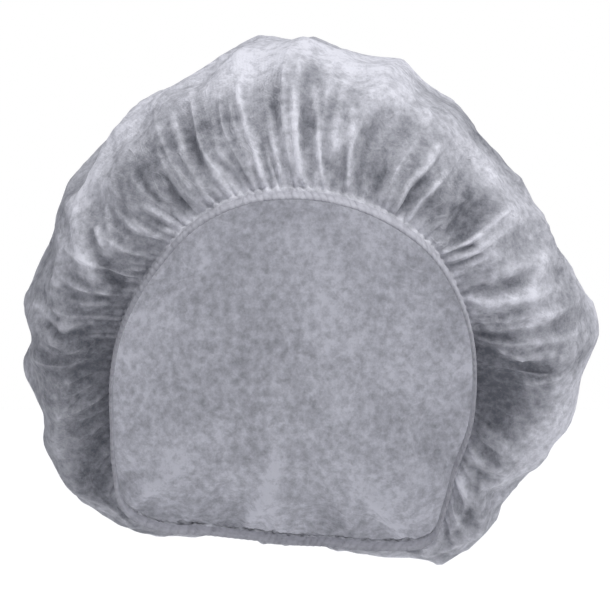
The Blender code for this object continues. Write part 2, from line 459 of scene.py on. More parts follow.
def drift(clock, share):
    """How far a column has swung round by the time it has run this share, in degrees."""
    angle = math.radians(clock)
    outwards = min(share / WIDEST_AT, 1.0)
    swing = SAG * math.sin(angle) - LEAN * max(math.cos(angle), 0.0) ** 2
    swing *= math.sin(math.pi * outwards**0.8)
    way = noise.noise(Vector((3.2 * math.cos(angle), 3.2 * math.sin(angle), 6 * share)))
    way *= ease(share, 0, WANDER_FULL_AT) * (1 - ease(share, WANDER_FADES_AT, WANDER_ENDS_AT))
    return swing + WANDER * way


def even_clocks(count):
    """Clock angles at even steps."""
    return [360 * i / count for i in range(count)]


def crown_grid(clocks, rows, shift=None):
    """The smooth crown as a bmesh, with each point's place on the flat disc in the layer flat."""
    mesh = bmesh.new()
    flat = mesh.verts.layers.float_vector.new("flat")
    bmesh.ops.create_grid(mesh, x_segments=len(clocks), y_segments=rows, size=1)
    shares = [(row / rows) ** ROW_CROWDING for row in range(rows + 1)]
    meridians = [meridian(clock) for clock in even_clocks(360 * MERIDIANS_PER_DEGREE)]
    smooth = [[point(share) for share in shares] for point in meridians]
    for vertex in mesh.verts:
        clock = clocks[round((vertex.co.x + 1) / 2 * len(clocks)) % len(clocks)]
        row = round((vertex.co.y + 1) / 2 * rows)
        radius, angle = SHEET_RADIUS * (1 - shares[row]), math.radians(clock)
        vertex[flat] = (radius * math.sin(angle), radius * math.cos(angle), 0)
        place = (clock + drift(clock, shares[row])) * MERIDIANS_PER_DEGREE
        before = math.floor(place)
        low, high = smooth[before % len(smooth)][row], smooth[(before + 1) % len(smooth)][row]
        vertex.co = low.lerp(high, place - before)
        if shift:
            vertex.co += shift(clock, shares[row])
    bmesh.ops.remove_doubles(mesh, verts=mesh.verts, dist=SAME_POINT)
    bmesh.ops.recalc_face_normals(mesh, faces=mesh.faces)
    return mesh


def cloth_place(vector):
    """A point's clock angle and share, from its place on the flat disc."""
    clock = math.degrees(math.atan2(vector[0], vector[1])) % 360
    return clock, max(0.0, 1 - math.hypot(vector[0], vector[1]) / SHEET_RADIUS)


columns = column_clocks()
print("columns:", len(columns), "in", len(GATHERS), "gathers")

# %% [markdown]
# Worn cloth holds single creases where it has been pinched or has sunk in. Simulated creases
# don't fall where the real cap has them, so each of these is a row in a table: a line over the
# cloth with a width and a height. Three more tables hold the dents in the puff, the patches
# painted paler or darker, partly for doubled cloth and partly as painted light and shade, and
# how far the outline is trimmed.

# %% Creases seen in the puff
class Crease(NamedTuple):
    """A crest or a furrow from one place on the cloth to another."""

    clock: float
    share: float
    to_clock: float
    to_share: float
    wide: float  # half its width, in millimetres
    height: float  # over CREST_HEIGHT, and below 0 for a furrow


CREASES = table(
    Crease,
    (341.5, 0.25, 340, 0.045, 2.2, 1.0),
    (343.3, 0.19, 343.7, 0.1, 2.6, -0.7),
    (336.5, 0.21, 336, 0.05, 1.8, 0.6),
    (335.8, 0.14, 332, 0.045, 2.4, -0.8),
    (332, 0.14, 331, 0.06, 1.8, 0.5),
    (330, 0.2, 330, 0.08, 2.8, -0.9),
    (326.5, 0.13, 327, 0.045, 2, 0.8),
    (324.3, 0.13, 324.3, 0.05, 3.4, -0.9),
    (326.5, 0.21, 321.3, 0.14, 3.6, -0.5),
    (323, 0.13, 322, 0.05, 1.6, 0.5),
    (320.3, 0.22, 316.9, 0.16, 3, 0.7),
    (316, 0.2, 313.5, 0.15, 2.6, 0.8),
    (313.7, 0.21, 311, 0.15, 3.6, -0.6),
    (311, 0.16, 303.1, 0.06, 5, -0.8),
    (315.7, 0.34, 312.6, 0.22, 7, 0.5),
    (312.6, 0.24, 304.4, 0.13, 6, 0.6),
    (304.4, 0.15, 300.5, 0.08, 5, 0.5),
    (314.5, 0.08, 317, 0.035, 1.4, 0.4),
    (308.8, 0.08, 311.2, 0.035, 1.4, 0.4),
    (302.4, 0.08, 305.7, 0.035, 1.4, 0.4),
    (301, 0.25, 300.2, 0.14, 2.8, 0.5),
    (301.5, 0.27, 298.8, 0.18, 3.4, -0.4),
    (296.5, 0.16, 297.5, 0.05, 2, 0.35),
    (291.5, 0.34, 290.4, 0.17, 4, 0.8),
    (290.4, 0.19, 290.6, 0.08, 3, 0.5),
    (293.5, 0.21, 293.8, 0.05, 3, -0.6),
    (289, 0.27, 287, 0.08, 3.4, -0.5),
    (287, 0.24, 281.5, 0.08, 3, 0.35),
    (349.8, 0.26, 348.5, 0.05, 1.8, 0.5),
    (354.8, 0.27, 354.8, 0.03, 2, 1.1),
    (357, 0.11, 356.6, 0.04, 2, -0.9),
    (359.5, 0.17, 358.6, 0.04, 1.6, 0.8),
    (0.6, 0.2, 0, 0.12, 2.2, -0.8),
    (3.4, 0.23, 4.4, 0.04, 1.8, 1.0),
    (4.4, 0.06, 6.5, 0.015, 1.6, 0.8),
    (5.3, 0.18, 5.1, 0.08, 2.2, -1.0),
    (7.1, 0.23, 10.3, 0.02, 1.9, 1.0),
    (12.5, 0.17, 12.8, 0.09, 5, 0.6),
    (14.3, 0.2, 17.4, 0.03, 2.2, 0.9),
    (30, 0.22, 30.4, 0.04, 1.6, 1.1),
    (34.4, 0.15, 35.2, 0.03, 1.8, 0.9),
    (33, 0.14, 31.5, 0.04, 3.2, -0.9),
    (24.5, 0.1, 23.5, 0.04, 2.2, -0.5),
    (46.2, 0.02, 49.4, 0.15, 1.4, 0.8),
    (48.6, 0.05, 50.1, 0.11, 1.4, -0.8),
    (49.4, 0.03, 51.4, 0.11, 1.4, 0.8),
    (51.4, 0.1, 50.6, 0.16, 1.6, 0.7),
    (51.8, 0.02, 52.9, 0.11, 1.5, -0.9),
    (54.4, 0.03, 53.4, 0.15, 2, 0.8),
    (63.1, 0.03, 64.8, 0.14, 2.6, 1.2),
    (64.6, 0.12, 65.6, 0.18, 2.6, 0.9),
    (65.8, 0.16, 58.7, 0.28, 4, 0.7),
    (68.5, 0.05, 67.8, 0.15, 3.6, -0.6),
    (72, 0.06, 71.1, 0.16, 2, 1.0),
    (71.1, 0.14, 70.0, 0.25, 3.4, 0.7),
    (73.6, 0.03, 73.6, 0.11, 2.2, -1.0),
    (76.9, 0.08, 79, 0.14, 2.2, 0.9),
    (79, 0.12, 77.5, 0.22, 2.6, 0.7),
    (81.5, 0.12, 82, 0.22, 3, -0.9),
    (86.7, 0.13, 83.6, 0.26, 2.6, 0.8),
    (102.9, 0.06, 102.2, 0.16, 5, 0.6),
    (102.2, 0.14, 104.5, 0.27, 5, 0.6),
    (108.4, 0.09, 107.5, 0.18, 3.6, -0.6),
    (112.7, 0.13, 115.1, 0.18, 3.4, -0.5),
    (122.5, 0.1, 122, 0.17, 3.4, -0.4),
    (138, 0.12, 141, 0.42, 5, 0.5),
    (152, 0.1, 149, 0.34, 4, -0.5),
    (163, 0.12, 167, 0.5, 6, 0.5),
    (178, 0.1, 176, 0.44, 5, -0.5),
    (191, 0.12, 190, 0.52, 6, 0.6),
    (205, 0.1, 209, 0.38, 4.5, -0.5),
    (218, 0.12, 216, 0.46, 5.5, 0.5),
    (236, 0.24, 240, 0.56, 7, 0.5),
    (20, 0.52, 34, 0.74, 8, 1.5),
    (52, 0.48, 58, 0.68, 9, 1.3),
    (80, 0.5, 92, 0.8, 8, 1.8),
    (98, 0.48, 104, 0.66, 7, -1.3),
    (118, 0.5, 112, 0.72, 9, 1.5),
    (146, 0.54, 154, 0.78, 8, 1.3),
    (196, 0.56, 188, 0.8, 8, 1.5),
    (214, 0.52, 208, 0.7, 7, -1.1),
    (232, 0.54, 226, 0.76, 8, 1.3),
    (266, 0.48, 272, 0.74, 9, 1.8),
    (284, 0.5, 280, 0.68, 7, -1.1),
    (300, 0.5, 308, 0.72, 8, 1.3),
    (338, 0.52, 330, 0.78, 8, 1.5),
    (352, 0.54, 2, 0.7, 8, -0.5),
)

# %% Dents seen in the puff
class Dent(NamedTuple):
    """A place where the puff has sunk in."""

    clock: float
    share: float
    wide: float  # half its width, in degrees
    long: float  # half its length, as a share of a meridian
    depth: float  # over DENT_DEPTH


DENTS = table(
    Dent,
    (45, 0.13, 6, 0.07, 0.9),
    (61, 0.09, 4, 0.05, 0.8),
    (91, 0.13, 9, 0.09, 1.5),
    (20.6, 0.08, 4, 0.05, 0.9),
    (18.5, 0.15, 4, 0.03, 0.5),
    (25, 0.2, 3, 0.03, 0.3),
    (350, 0.19, 5, 0.05, 0.5),
    (280, 0.1, 8, 0.06, 0.6),
    (252, 0.14, 10, 0.1, 0.8),
)


class PaintedPatch(NamedTuple):
    """A place painted paler, or darker if below 0, partly for doubled and single cloth and partly
    as painted light and shade.
    """

    clock: float
    share: float
    wide: float  # half its width, in degrees
    long: float  # half its length, as a share of a meridian
    paler: float


PAINTED_PATCHES = table(
    PaintedPatch,
    (7, 0.46, 8, 0.05, -0.2),
    (358.5, 0.29, 5, 0.05, 0.2),
    (355.5, 0.22, 3.5, 0.07, 0.34),
    (6.5, 0.2, 5, 0.08, -0.4),
    (2, 0.05, 6, 0.03, -0.12),
    (22.5, 0.15, 4, 0.04, 0.2),
    (26.5, 0.16, 2.5, 0.04, -0.15),
    (30, 0.27, 6, 0.05, -0.15),
    (37, 0.4, 9, 0.08, -0.7),
    (38, 0.095, 3, 0.03, -0.18),
    (34, 0.02, 12, 0.03, 0.2),
    (43, 0.21, 5, 0.05, -0.15),
    (49, 0.17, 4, 0.05, 0.35),
    (54, 0.33, 7, 0.07, -0.45),
    (55, 0.12, 3, 0.04, 0.12),
    (63.5, 0.2, 4, 0.05, 0.15),
    (71, 0.18, 3.5, 0.04, 0.18),
    (71, 0.29, 9, 0.07, -0.7),
    (78, 0.365, 3, 0.04, -0.2),
    (79, 0.055, 3, 0.03, -0.15),
    (84, 0.26, 4, 0.04, 0.17),
    (87, 0.06, 10, 0.06, -0.55),
    (92, 0.16, 5, 0.04, 0.35),
    (103, 0.075, 4, 0.04, -0.25),
    (98, 0.2, 9, 0.06, 0.38),
    (111.5, 0.13, 4, 0.05, -0.35),
    (118, 0.085, 4.5, 0.05, 0.45),
    (134, 0.04, 8, 0.05, 0.35),
    (234, 0.07, 5, 0.05, 0.25),
    (262, 0.2, 8, 0.06, 0.2),
    (276, 0.07, 13, 0.06, -0.22),
    (281, 0.12, 17, 0.13, -0.3),
    (298, 0.07, 5, 0.05, -0.2),
    (311, 0.33, 6, 0.06, -0.3),
    (316.5, 0.205, 4, 0.04, -0.2),
    (317, 0.07, 6, 0.05, -0.25),
    (322, 0.31, 6, 0.06, 0.45),
    (334, 0.21, 4, 0.05, -0.2),
    (338, 0.02, 17, 0.03, 0.3),
    (338.5, 0.13, 6, 0.07, -0.3),
    (344, 0.26, 4, 0.05, -0.15),
    (350, 0.13, 4, 0.05, -0.15),
)


class Trim(NamedTuple):
    """How far the outline is drawn in or let out, as seen from the front."""

    clock: float
    scale: float


TRIMS = table(
    Trim,
    (0, 0.99),
    (12, 0.972),
    (24, 0.987),
    (30, 0.991),
    (36, 0.98),
    (48, 0.998),
    (54, 0.99),
    (60, 0.999),
    (66, 1),
    (72, 0.986),
    (78, 0.984),
    (84, 0.992),
    (92, 0.982),
    (106, 1.008),
    (110, 1.009),
    (114, 0.996),
    (120, 1.019),
    (132, 0.994),
    (138, 1.018),
    (144, 1.008),
    (160, 1.015),
    (180, 1),
    (200, 1),
    (216, 1.02),
    (222, 1),
    (228, 1.009),
    (234, 1.022),
    (240, 0.995),
    (246, 1.011),
    (252, 0.979),
    (258, 0.978),
    (264, 1.006),
    (270, 0.966),
    (276, 0.97),
    (286, 0.998),
    (300, 0.976),
    (312, 0.995),
    (322, 0.978),
    (330, 0.996),
    (336, 0.993),
    (342, 0.986),
    (348, 0.994),
)
TRIM_CENTRE = 0.023  # how far above the origin the outline's middle lies
print("seen:", len(CREASES), "creases,", len(DENTS), "dents,", len(PAINTED_PATCHES), "patches")

# %% [markdown]
# The gathers are narrow crests with wide, flat valleys between them, because the elastic pulls
# the cloth into pinches. Fine pleats lie between them beside the hem, and broad folds make the
# outline's corners. Each kind of relief has a function of its own, which gives a height for any
# place on the cloth, so that each can be corrected alone.

# %% Gathers and folds
GATHER_HEIGHT = 0.0032
GATHER_FULL_AT = 0.09
GATHER_FADES_AT = 0.20
GATHER_ENDS_AT = 0.46
FOLD_DEPTH = 0.0026
FOLD_FULL_AT = 0.36
FOLD_FADES_AT = 0.48
FOLD_ENDS_AT = 0.85


def blended(low, high, column, between):
    """A column between two rows of a table."""
    start = getattr(low, column)
    return start + (getattr(high, column) - start) * ease(between)


def pinch(between, sharpness):
    """A narrow crest at 0 and 1 and a wide valley halfway."""
    return (1 - 2 * min(between, 1 - between)) ** sharpness


def gather_height(clock, share):
    """How high the pinched crests stand, from 0 to about 1."""
    after, low, high, between = rows_round(GATHERS, clock)
    reach = blended(low, high, "reach", between)
    crest = low if between < 0.5 else high
    waver = 0.95 + 0.5 * noise.noise(Vector((crest.clock * 0.7, share * 11, 0.3)))
    sharpness = 3.2 + 2.4 * noise.noise(Vector((crest.clock * 1.3, 0.5, 5.1)))
    height = blended(low, high, "depth", between) * pinch(between, sharpness) * waver
    slack = noise.noise(Vector((after * 1.7, 0.5, 8.8)))
    height += 0.6 * max(0.0, slack + 0.4) * pinch((between + 0.5 + 0.3 * slack) % 1, 4)
    height *= ease(share, COLLAR_END, GATHER_FULL_AT)
    return height * (1 - ease(share / reach, GATHER_FADES_AT, GATHER_ENDS_AT))


def fold_height(clock, share):
    """How far the broad folds stand out, from -1 to 1."""
    _, low, high, across = rows_round(FOLDS, clock)
    height = blended(low, high, "depth", across)
    height *= ease(share, COLLAR_END, FOLD_FULL_AT)
    height *= 1 - ease(share, FOLD_FADES_AT, FOLD_ENDS_AT)
    return height * (1 - 2 * math.sin(math.pi * across) ** 1.2)


# %% Drawn creases, dents and patches
CREST_HEIGHT = 0.0014
CREST_WAVER = 0.0012
DENT_DEPTH = 0.0040
DEGREE_AT_HEM = 0.0014  # the length of one degree of clock, in metres
DEGREE_AT_WIDEST = 0.0023
MERIDIAN_LENGTH = 0.24
MM = 0.001


def creases_by_degree():
    """The creases that may reach each whole degree of clock."""
    made = [[] for _ in range(360)]
    for crease in CREASES:
        turn = turn_between(crease.clock, crease.to_clock)
        spare = crease.wide * MM / DEGREE_AT_HEM + 1
        first = math.floor(crease.clock + min(turn, 0) - spare)
        last = math.ceil(crease.clock + max(turn, 0) + spare)
        for degree in range(first, last + 1):
            made[degree % 360].append((crease, turn))
    return made


creases_near = creases_by_degree()


def drawn_creases(clock, share):
    """How high the drawn crests stand, from 0 to about 1, and below 0 in the furrows."""
    height = 0.0
    degree = DEGREE_AT_HEM + (DEGREE_AT_WIDEST - DEGREE_AT_HEM) * ease(share, 0, WIDEST_AT)
    degree = min(degree, math.radians(MERIDIAN_LENGTH * (1 - share)))
    for crease, turn in creases_near[int(clock) % 360]:
        run_x, run_y = turn * degree, (crease.to_share - crease.share) * MERIDIAN_LENGTH
        x = turn_between(crease.clock, clock) * degree
        y = (share - crease.share) * MERIDIAN_LENGTH
        x += CREST_WAVER * noise.noise(Vector((crease.clock, share * 14, 1.5)))
        along = min(1.0, max(0.0, (x * run_x + y * run_y) / (run_x**2 + run_y**2)))
        away = math.hypot(x - along * run_x, y - along * run_y) / (crease.wide * MM)
        if away < 1:
            taper = 0.25 + 0.75 * ease(8 * along * (1 - along))
            height += crease.height * taper * (1 - ease(away)) ** 1.3
    return height


def dent_depth(clock, share):
    """How deep the puff has sunk in, from 0 to about 1."""
    deepest = 0.0
    for dent in DENTS:
        across = turn_between(dent.clock, clock) / dent.wide
        along = (share - dent.share) / dent.long
        deepest = max(deepest, dent.depth * (1 - ease(math.hypot(across, along), 0, 2)))
    return deepest


def painted_patch_tone(clock, share):
    """How much paler the patches paint the cloth here, or darker if below 0, partly as painted
    light and shade.
    """
    tone = 0.0
    for patch in PAINTED_PATCHES:
        across = turn_between(patch.clock, clock) / patch.wide
        along = (share - patch.share) / patch.long
        tone += patch.paler * (1 - ease(math.hypot(across, along), 0, 2))
    return tone


# %% Pleats and crumpling
PLEAT_HEIGHT = 0.0016
PLEAT_PITCH = 2.45  # degrees
PLEATS_END_AT = 0.15
STREAK_HEIGHT = 0.0009
CREASE_HEIGHT = 0.0007
LOOSE_AT = 0.13  # from this share on the cloth is free of the hem
SWELLS_FADE_AT = 0.35
SWELLS_CALM_AT = 0.60
SWELLS_STOP_FROM = 0.70
SWELLS_END_AT = 0.95
noise.seed_set(1)  # otherwise noise_vector changes with the time of day


def pleat_height(clock, share):
    """Fine uneven pleats beside the hem, from 0 to 1."""
    fade = ease(share, 0, COLLAR_END) * (1 - ease(share, COLLAR_END, PLEATS_END_AT))
    if fade == 0:
        return 0.0
    wander = noise.noise(Vector((math.radians(clock) * 4, share * 9, 3.1)))
    phase = (clock + 1.6 * wander) / PLEAT_PITCH
    strength = 0.65 + 0.5 * noise.noise(Vector((clock * 0.37, share * 4, 7.7)))
    return strength * fade * abs(math.sin(math.pi * phase))


def streaks(clock, share, cloth):
    """Small uneven swells that run with the gathers, from about -1 to 1."""
    angle = math.radians(clock)
    along = Vector((14 * math.cos(angle), 14 * math.sin(angle), 5 * share))
    broad = Vector((5 * math.cos(angle), 5 * math.sin(angle), 3 * share + 9))
    near_hem = 1 - ease(share, SWELLS_FADE_AT, SWELLS_CALM_AT)
    far_off = (1 - near_hem) * (1 - ease(share, SWELLS_STOP_FROM, SWELLS_END_AT))
    swell = (0.3 + 0.2 * near_hem) * noise.noise(cloth * 60)
    swell += 0.3 * near_hem * noise.noise(cloth * 150)
    swell += 1.1 * far_off * noise.noise(broad)
    return 0.6 * near_hem * noise.noise(along) + swell


def crease_height(cloth):
    """Thin crests that wind over the cloth where it has been crumpled, from 0 to 1."""
    warp = noise.noise_vector(cloth * 9) * 0.02
    line = abs(noise.noise((cloth + warp) * 17 + Vector((3.1, 0.7, 2.2))))
    strength = ease(0.5 + 1.6 * noise.noise(cloth * 12 + Vector((8.4, 1.9, 5.5))))
    return strength * (1 - ease(line, 0, 0.13))


# %% [markdown]
# A round form can't be covered with flat cloth without spare cloth, and the spare cloth
# crumples. A coarse copy of the crown is simulated as cloth that is cut a little too large, with
# a breath of air inside, and is held weakly to its form. It buckles by itself, more beside the
# hem than at the back. How far each point moved is then passed on to the fine mesh.

# %% Let a coarse copy buckle
SETTLE_COLUMNS = 200
SETTLE_ROWS = 64
SETTLE_FRAMES = 18
SPARE_AT_HEM = 0.075
SPARE_AT_BACK = 0.03
HOLD = 0.27
HOLD_AT_BACK = 0.8
LARGEST_SHIFT = 0.006
BUCKLE_FADES_AT = 0.5
BUCKLE_ENDS_AT = 0.9
START_LIFT = 0.5  # of the gathers' height, so that the cloth buckles along them
START_UNEVEN = 0.0012
AIR_PRESSURE = 0.3
CALM = 0.75  # how much less the cloth buckles where it hangs straight, low on the left
CALM_MIDDLE = 255
CALM_REACH = 32
HOLLOW_MIDDLE = 91  # and in the hollow on the right
HOLLOW_REACH = 14


def set_up_cloth(piece, places):
    """Gives a piece a cloth modifier, pinned at the hem and held weakly elsewhere."""
    held = piece.vertex_groups.new(name="held")
    slack = piece.vertex_groups.new(name="slack")
    for i, (_, share) in enumerate(places):
        hold = HOLD + (HOLD_AT_BACK - HOLD) * ease(share, 0.7, 0.95)
        held.add([i], 1.0 if share < COLLAR_END else hold, "REPLACE")
        slack.add([i], 1 - ease(share, 0.3, 0.7), "REPLACE")
    settle = piece.modifiers.new("settle", "CLOTH")
    settle.collision_settings.use_collision = False
    cloth = settle.settings
    cloth.quality = 4
    cloth.mass = 0.05
    cloth.tension_stiffness = cloth.compression_stiffness = 15
    cloth.shear_stiffness = 7.5
    cloth.tension_damping = cloth.compression_damping = cloth.shear_damping = 1
    cloth.bending_stiffness = 80
    cloth.bending_damping = 0.1
    cloth.air_damping = 1
    cloth.vertex_group_mass = "held"
    cloth.pin_stiffness = 1
    cloth.vertex_group_shrink = "slack"
    cloth.shrink_min = -SPARE_AT_BACK
    cloth.shrink_max = -SPARE_AT_HEM
    cloth.use_pressure = True
    cloth.uniform_pressure_force = AIR_PRESSURE
    cloth.effector_weights.gravity = 0


def buckled_shifts():
    """How far each point of a coarse crown moves as it buckles, by column and row."""
    mesh = crown_grid(even_clocks(SETTLE_COLUMNS), SETTLE_ROWS)
    piece = finished_object("coarse_crown", mesh)
    data = piece.data
    places = [cloth_place(place.vector) for place in data.attributes["flat"].data]
    normals = [v.normal.copy() for v in data.vertices]
    for vertex, normal, (clock, share) in zip(data.vertices, normals, places):
        lift = START_LIFT * GATHER_HEIGHT * gather_height(clock, share)
        lift += START_UNEVEN * ease(share, COLLAR_END, LOOSE_AT) * noise.noise(vertex.co * 60)
        vertex.co = vertex.co + normal * lift
    data.update()
    start = [v.co.copy() for v in data.vertices]
    set_up_cloth(piece, places)
    for frame in range(1, SETTLE_FRAMES + 1):
        bpy.context.scene.frame_set(frame)
    graph = bpy.context.evaluated_depsgraph_get()
    moved = [v.co.copy() for v in piece.evaluated_get(graph).data.vertices]
    bpy.data.objects.remove(piece)
    bpy.context.scene.frame_set(1)
    made = [[Vector() for _ in range(SETTLE_ROWS + 1)] for _ in range(SETTLE_COLUMNS)]
    for (clock, share), before, after in zip(places, start, moved):
        shift = after - before
        shift *= min(1.0, LARGEST_SHIFT / max(shift.length, 1e-9))
        shift *= 1 - ease(share, BUCKLE_FADES_AT, BUCKLE_ENDS_AT)
        shift *= 1 - CALM * near_angle(clock, CALM_MIDDLE, CALM_REACH)
        shift *= 1 - CALM * near_angle(clock, HOLLOW_MIDDLE, HOLLOW_REACH)
        column = round(clock / 360 * SETTLE_COLUMNS) % SETTLE_COLUMNS
        made[column][round(share ** (1 / ROW_CROWDING) * SETTLE_ROWS)] = shift
    return made


shifts = buckled_shifts()


def buckle(clock, share):
    """How far the cloth has moved at any place."""
    if not shifts:
        return Vector()
    column = clock / 360 * SETTLE_COLUMNS
    row = share ** (1 / ROW_CROWDING) * SETTLE_ROWS
    across, along = math.floor(column), min(math.floor(row), SETTLE_ROWS - 1)
    near, far = shifts[across % SETTLE_COLUMNS], shifts[(across + 1) % SETTLE_COLUMNS]
    u, v = ease(column - across), ease(row - along)
    return near[along].lerp(far[along], u).lerp(near[along + 1].lerp(far[along + 1], u), v)


print("buckled:", "no" if shifts is None else f"{len(shifts)} columns")

# %% [markdown]
# All the relief is now pushed out along the fine crown's normals. How bunched the cloth is at
# each point is kept as a number from 0 to 1, because bunched and doubled cloth looks paler than
# a single thin layer. The same number holds painted light and shade: paler away from the hem,
# most towards the top right, and darker in the dents, in the furrows, low on the left and in
# some patches. The finish reads this number, so it needs no picture.

# %% Gather the fine crown
BAND_FROM = 0.17  # from this share on the puff is painted paler, as painted light
BAND_FULL_AT = 0.30
BAND_MIDDLE = 50  # the clock angle at which the painted light is strongest, towards the lamp
BAND_PAINTED_LIGHT = 0.6
BACK_BAND = 0.9  # as a share of it, all round the back
BACK_FROM = 0.4
BACK_FULL_AT = 0.7
SINGLE_TONE = 0.26  # one flat layer of cloth; the other tones are added to it
GATHER_TONE = 0.95
PLEAT_TONE = 0.3
PILED_TONE = 0.25
SWELL_TONE = 0.25
STREAK_TONE = 0.15
CLOUD_TONE = 0.26
CREASE_TONE = 0.2
# the drawn crests are painted paler, as painted highlight, and the furrows darker, as painted
# shade
CREST_PAINTED_LIGHT = 0.5
FURROW_PAINTED_SHADE = 0.36
# painted shade in the puff's dents
DENT_PAINTED_SHADE = -0.4
# painted shade beside the hem, low on the left, away from the lamp
LOW_LEFT_PAINTED_SHADE = -0.2
TONE_SCALE = 0.88
DARKEST = 0.24  # tones near 0 end at half of this, so that dark places keep their pattern
VALLEY = 0.2  # how far the cloth between the gathers is drawn in
TRIM_FULL_AT = 0.23
TRIM_FADES_AT = 0.60
TRIM_ENDS_AT = 0.95


def painted_light_band(clock, share):
    """Painted light: how much paler the puff is painted away from the hem, most at the top right,
    towards the lamp.
    """
    bright = 0.5 + 0.5 * math.cos(math.radians(clock - BAND_MIDDLE))
    bright += (BACK_BAND - bright) * ease(share, BACK_FROM, BACK_FULL_AT)
    return BAND_PAINTED_LIGHT * bright * ease(share, BAND_FROM, BAND_FULL_AT)


def trim_outline(place, clock, share):
    """Draws a point in or lets it out, so that the outline keeps its form when it has buckled."""
    from_middle = Vector((place.x, 0, place.z - TRIM_CENTRE))
    seen_at = math.degrees(math.atan2(from_middle.x, from_middle.z)) % 360
    part = ease(share, COLLAR_END, TRIM_FULL_AT) * (1 - ease(share, TRIM_FADES_AT, TRIM_ENDS_AT))
    return place + from_middle * part * (smooth_value(TRIMS, "scale", seen_at) - 1)


def gather_cloth(piece):
    """Lifts the whole relief off the buckled crown and keeps how bunched the cloth is, with
    painted light and shade added in.
    """
    data = piece.data
    bunched_and_painted_shading = data.attributes.new("bunched_and_painted_shading", "FLOAT", "POINT").data
    flat = data.attributes["flat"].data
    normals = [v.normal.copy() for v in data.vertices]
    for vertex, normal, place, kept_tone in zip(data.vertices, normals, flat, bunched_and_painted_shading):
        cloth = Vector(place.vector)
        clock, share = cloth_place(cloth)
        loose = ease(share, COLLAR_END, LOOSE_AT)
        at_back = ease(share, 0.35, 0.55)
        low_left_shade = near_angle(clock, CALM_MIDDLE, CALM_REACH)
        gather = gather_height(clock, share)
        pleat = pleat_height(clock, share)
        dent = dent_depth(clock, share)
        drawn = drawn_creases(clock, share)
        streak = loose * streaks(clock, share, cloth)
        crease = loose * crease_height(cloth) * (1 - 0.6 * ease(share, 0.25, 0.4))
        swell = buckle(clock, share).dot(normal) / LARGEST_SHIFT
        cloud = noise.noise(cloth * 24) + 0.6 * noise.noise(cloth * 70)

        lift = GATHER_HEIGHT * (gather - VALLEY * ease(share, 0, GATHER_FULL_AT))
        lift += FOLD_DEPTH * fold_height(clock, share)
        lift += PLEAT_HEIGHT * pleat + STREAK_HEIGHT * streak + CREASE_HEIGHT * crease
        lift += CREST_HEIGHT * ease(share, 0, 0.03) * drawn
        lift -= DENT_DEPTH * ease(share, 0, 0.07) * dent
        vertex.co = trim_outline(vertex.co + normal * lift, clock, share)

        # painted light in the band, and painted light and shade in the patches, are added to the
        # cloth's tone
        tone = SINGLE_TONE + painted_light_band(clock, share) + painted_patch_tone(clock, share)
        # the dents are painted darker, as painted shade in the hollows
        tone += GATHER_TONE * gather + PLEAT_TONE * pleat + DENT_PAINTED_SHADE * dent
        tone += PILED_TONE * (1 - ease(share, 0, 0.08))
        tone += SWELL_TONE * (1 - 0.7 * at_back) * swell
        tone += STREAK_TONE * streak + CREASE_TONE * crease
        # the mottling is calmer in the painted shade low on the left
        tone += CLOUD_TONE * (1 - 0.5 * low_left_shade) * cloud
        # painted highlight on the drawn crests, painted shade in the furrows
        tone += (CREST_PAINTED_LIGHT if drawn > 0 else FURROW_PAINTED_SHADE) * (1 - 0.6 * at_back) * drawn
        # painted shade beside the hem, low on the left
        tone += LOW_LEFT_PAINTED_SHADE * low_left_shade * (1 - ease(share, 0, 0.3))
        tone *= TONE_SCALE
        kept_tone.value = min(1.0, (tone + math.hypot(tone, DARKEST)) / 2)
    data.update()


crown = finished_object("gathered_crown", crown_grid(columns, CROWN_ROWS, buckle))
gather_cloth(crown)
area = sum(face.area for face in crown.data.polygons)
print("crown:", len(crown.data.polygons), "faces,", round(area, 3), "square metres")

# %% [markdown]
# The hem is the cloth's edge folded over a thin elastic. Its section is a flattened ring, spun
# into a torus and then laid along the hem's line. The elastic draws it into small puckers.

# %% Elastic hem
HEM_STATIONS = 1020
HEM_SIDES = 12
PUCKERS = 170
PUCKER_DEPTH = 0.0004
PUCKER_SHARPNESS = 2.2
HEM_TONE = 0.9
VALLEY_SHADE = 0.35
INNER_SHADE = 0.45  # how much darker the hem looks along its edge
SPUN_RADIUS = 1.0  # the ring is spun this wide and then laid along the hem's line


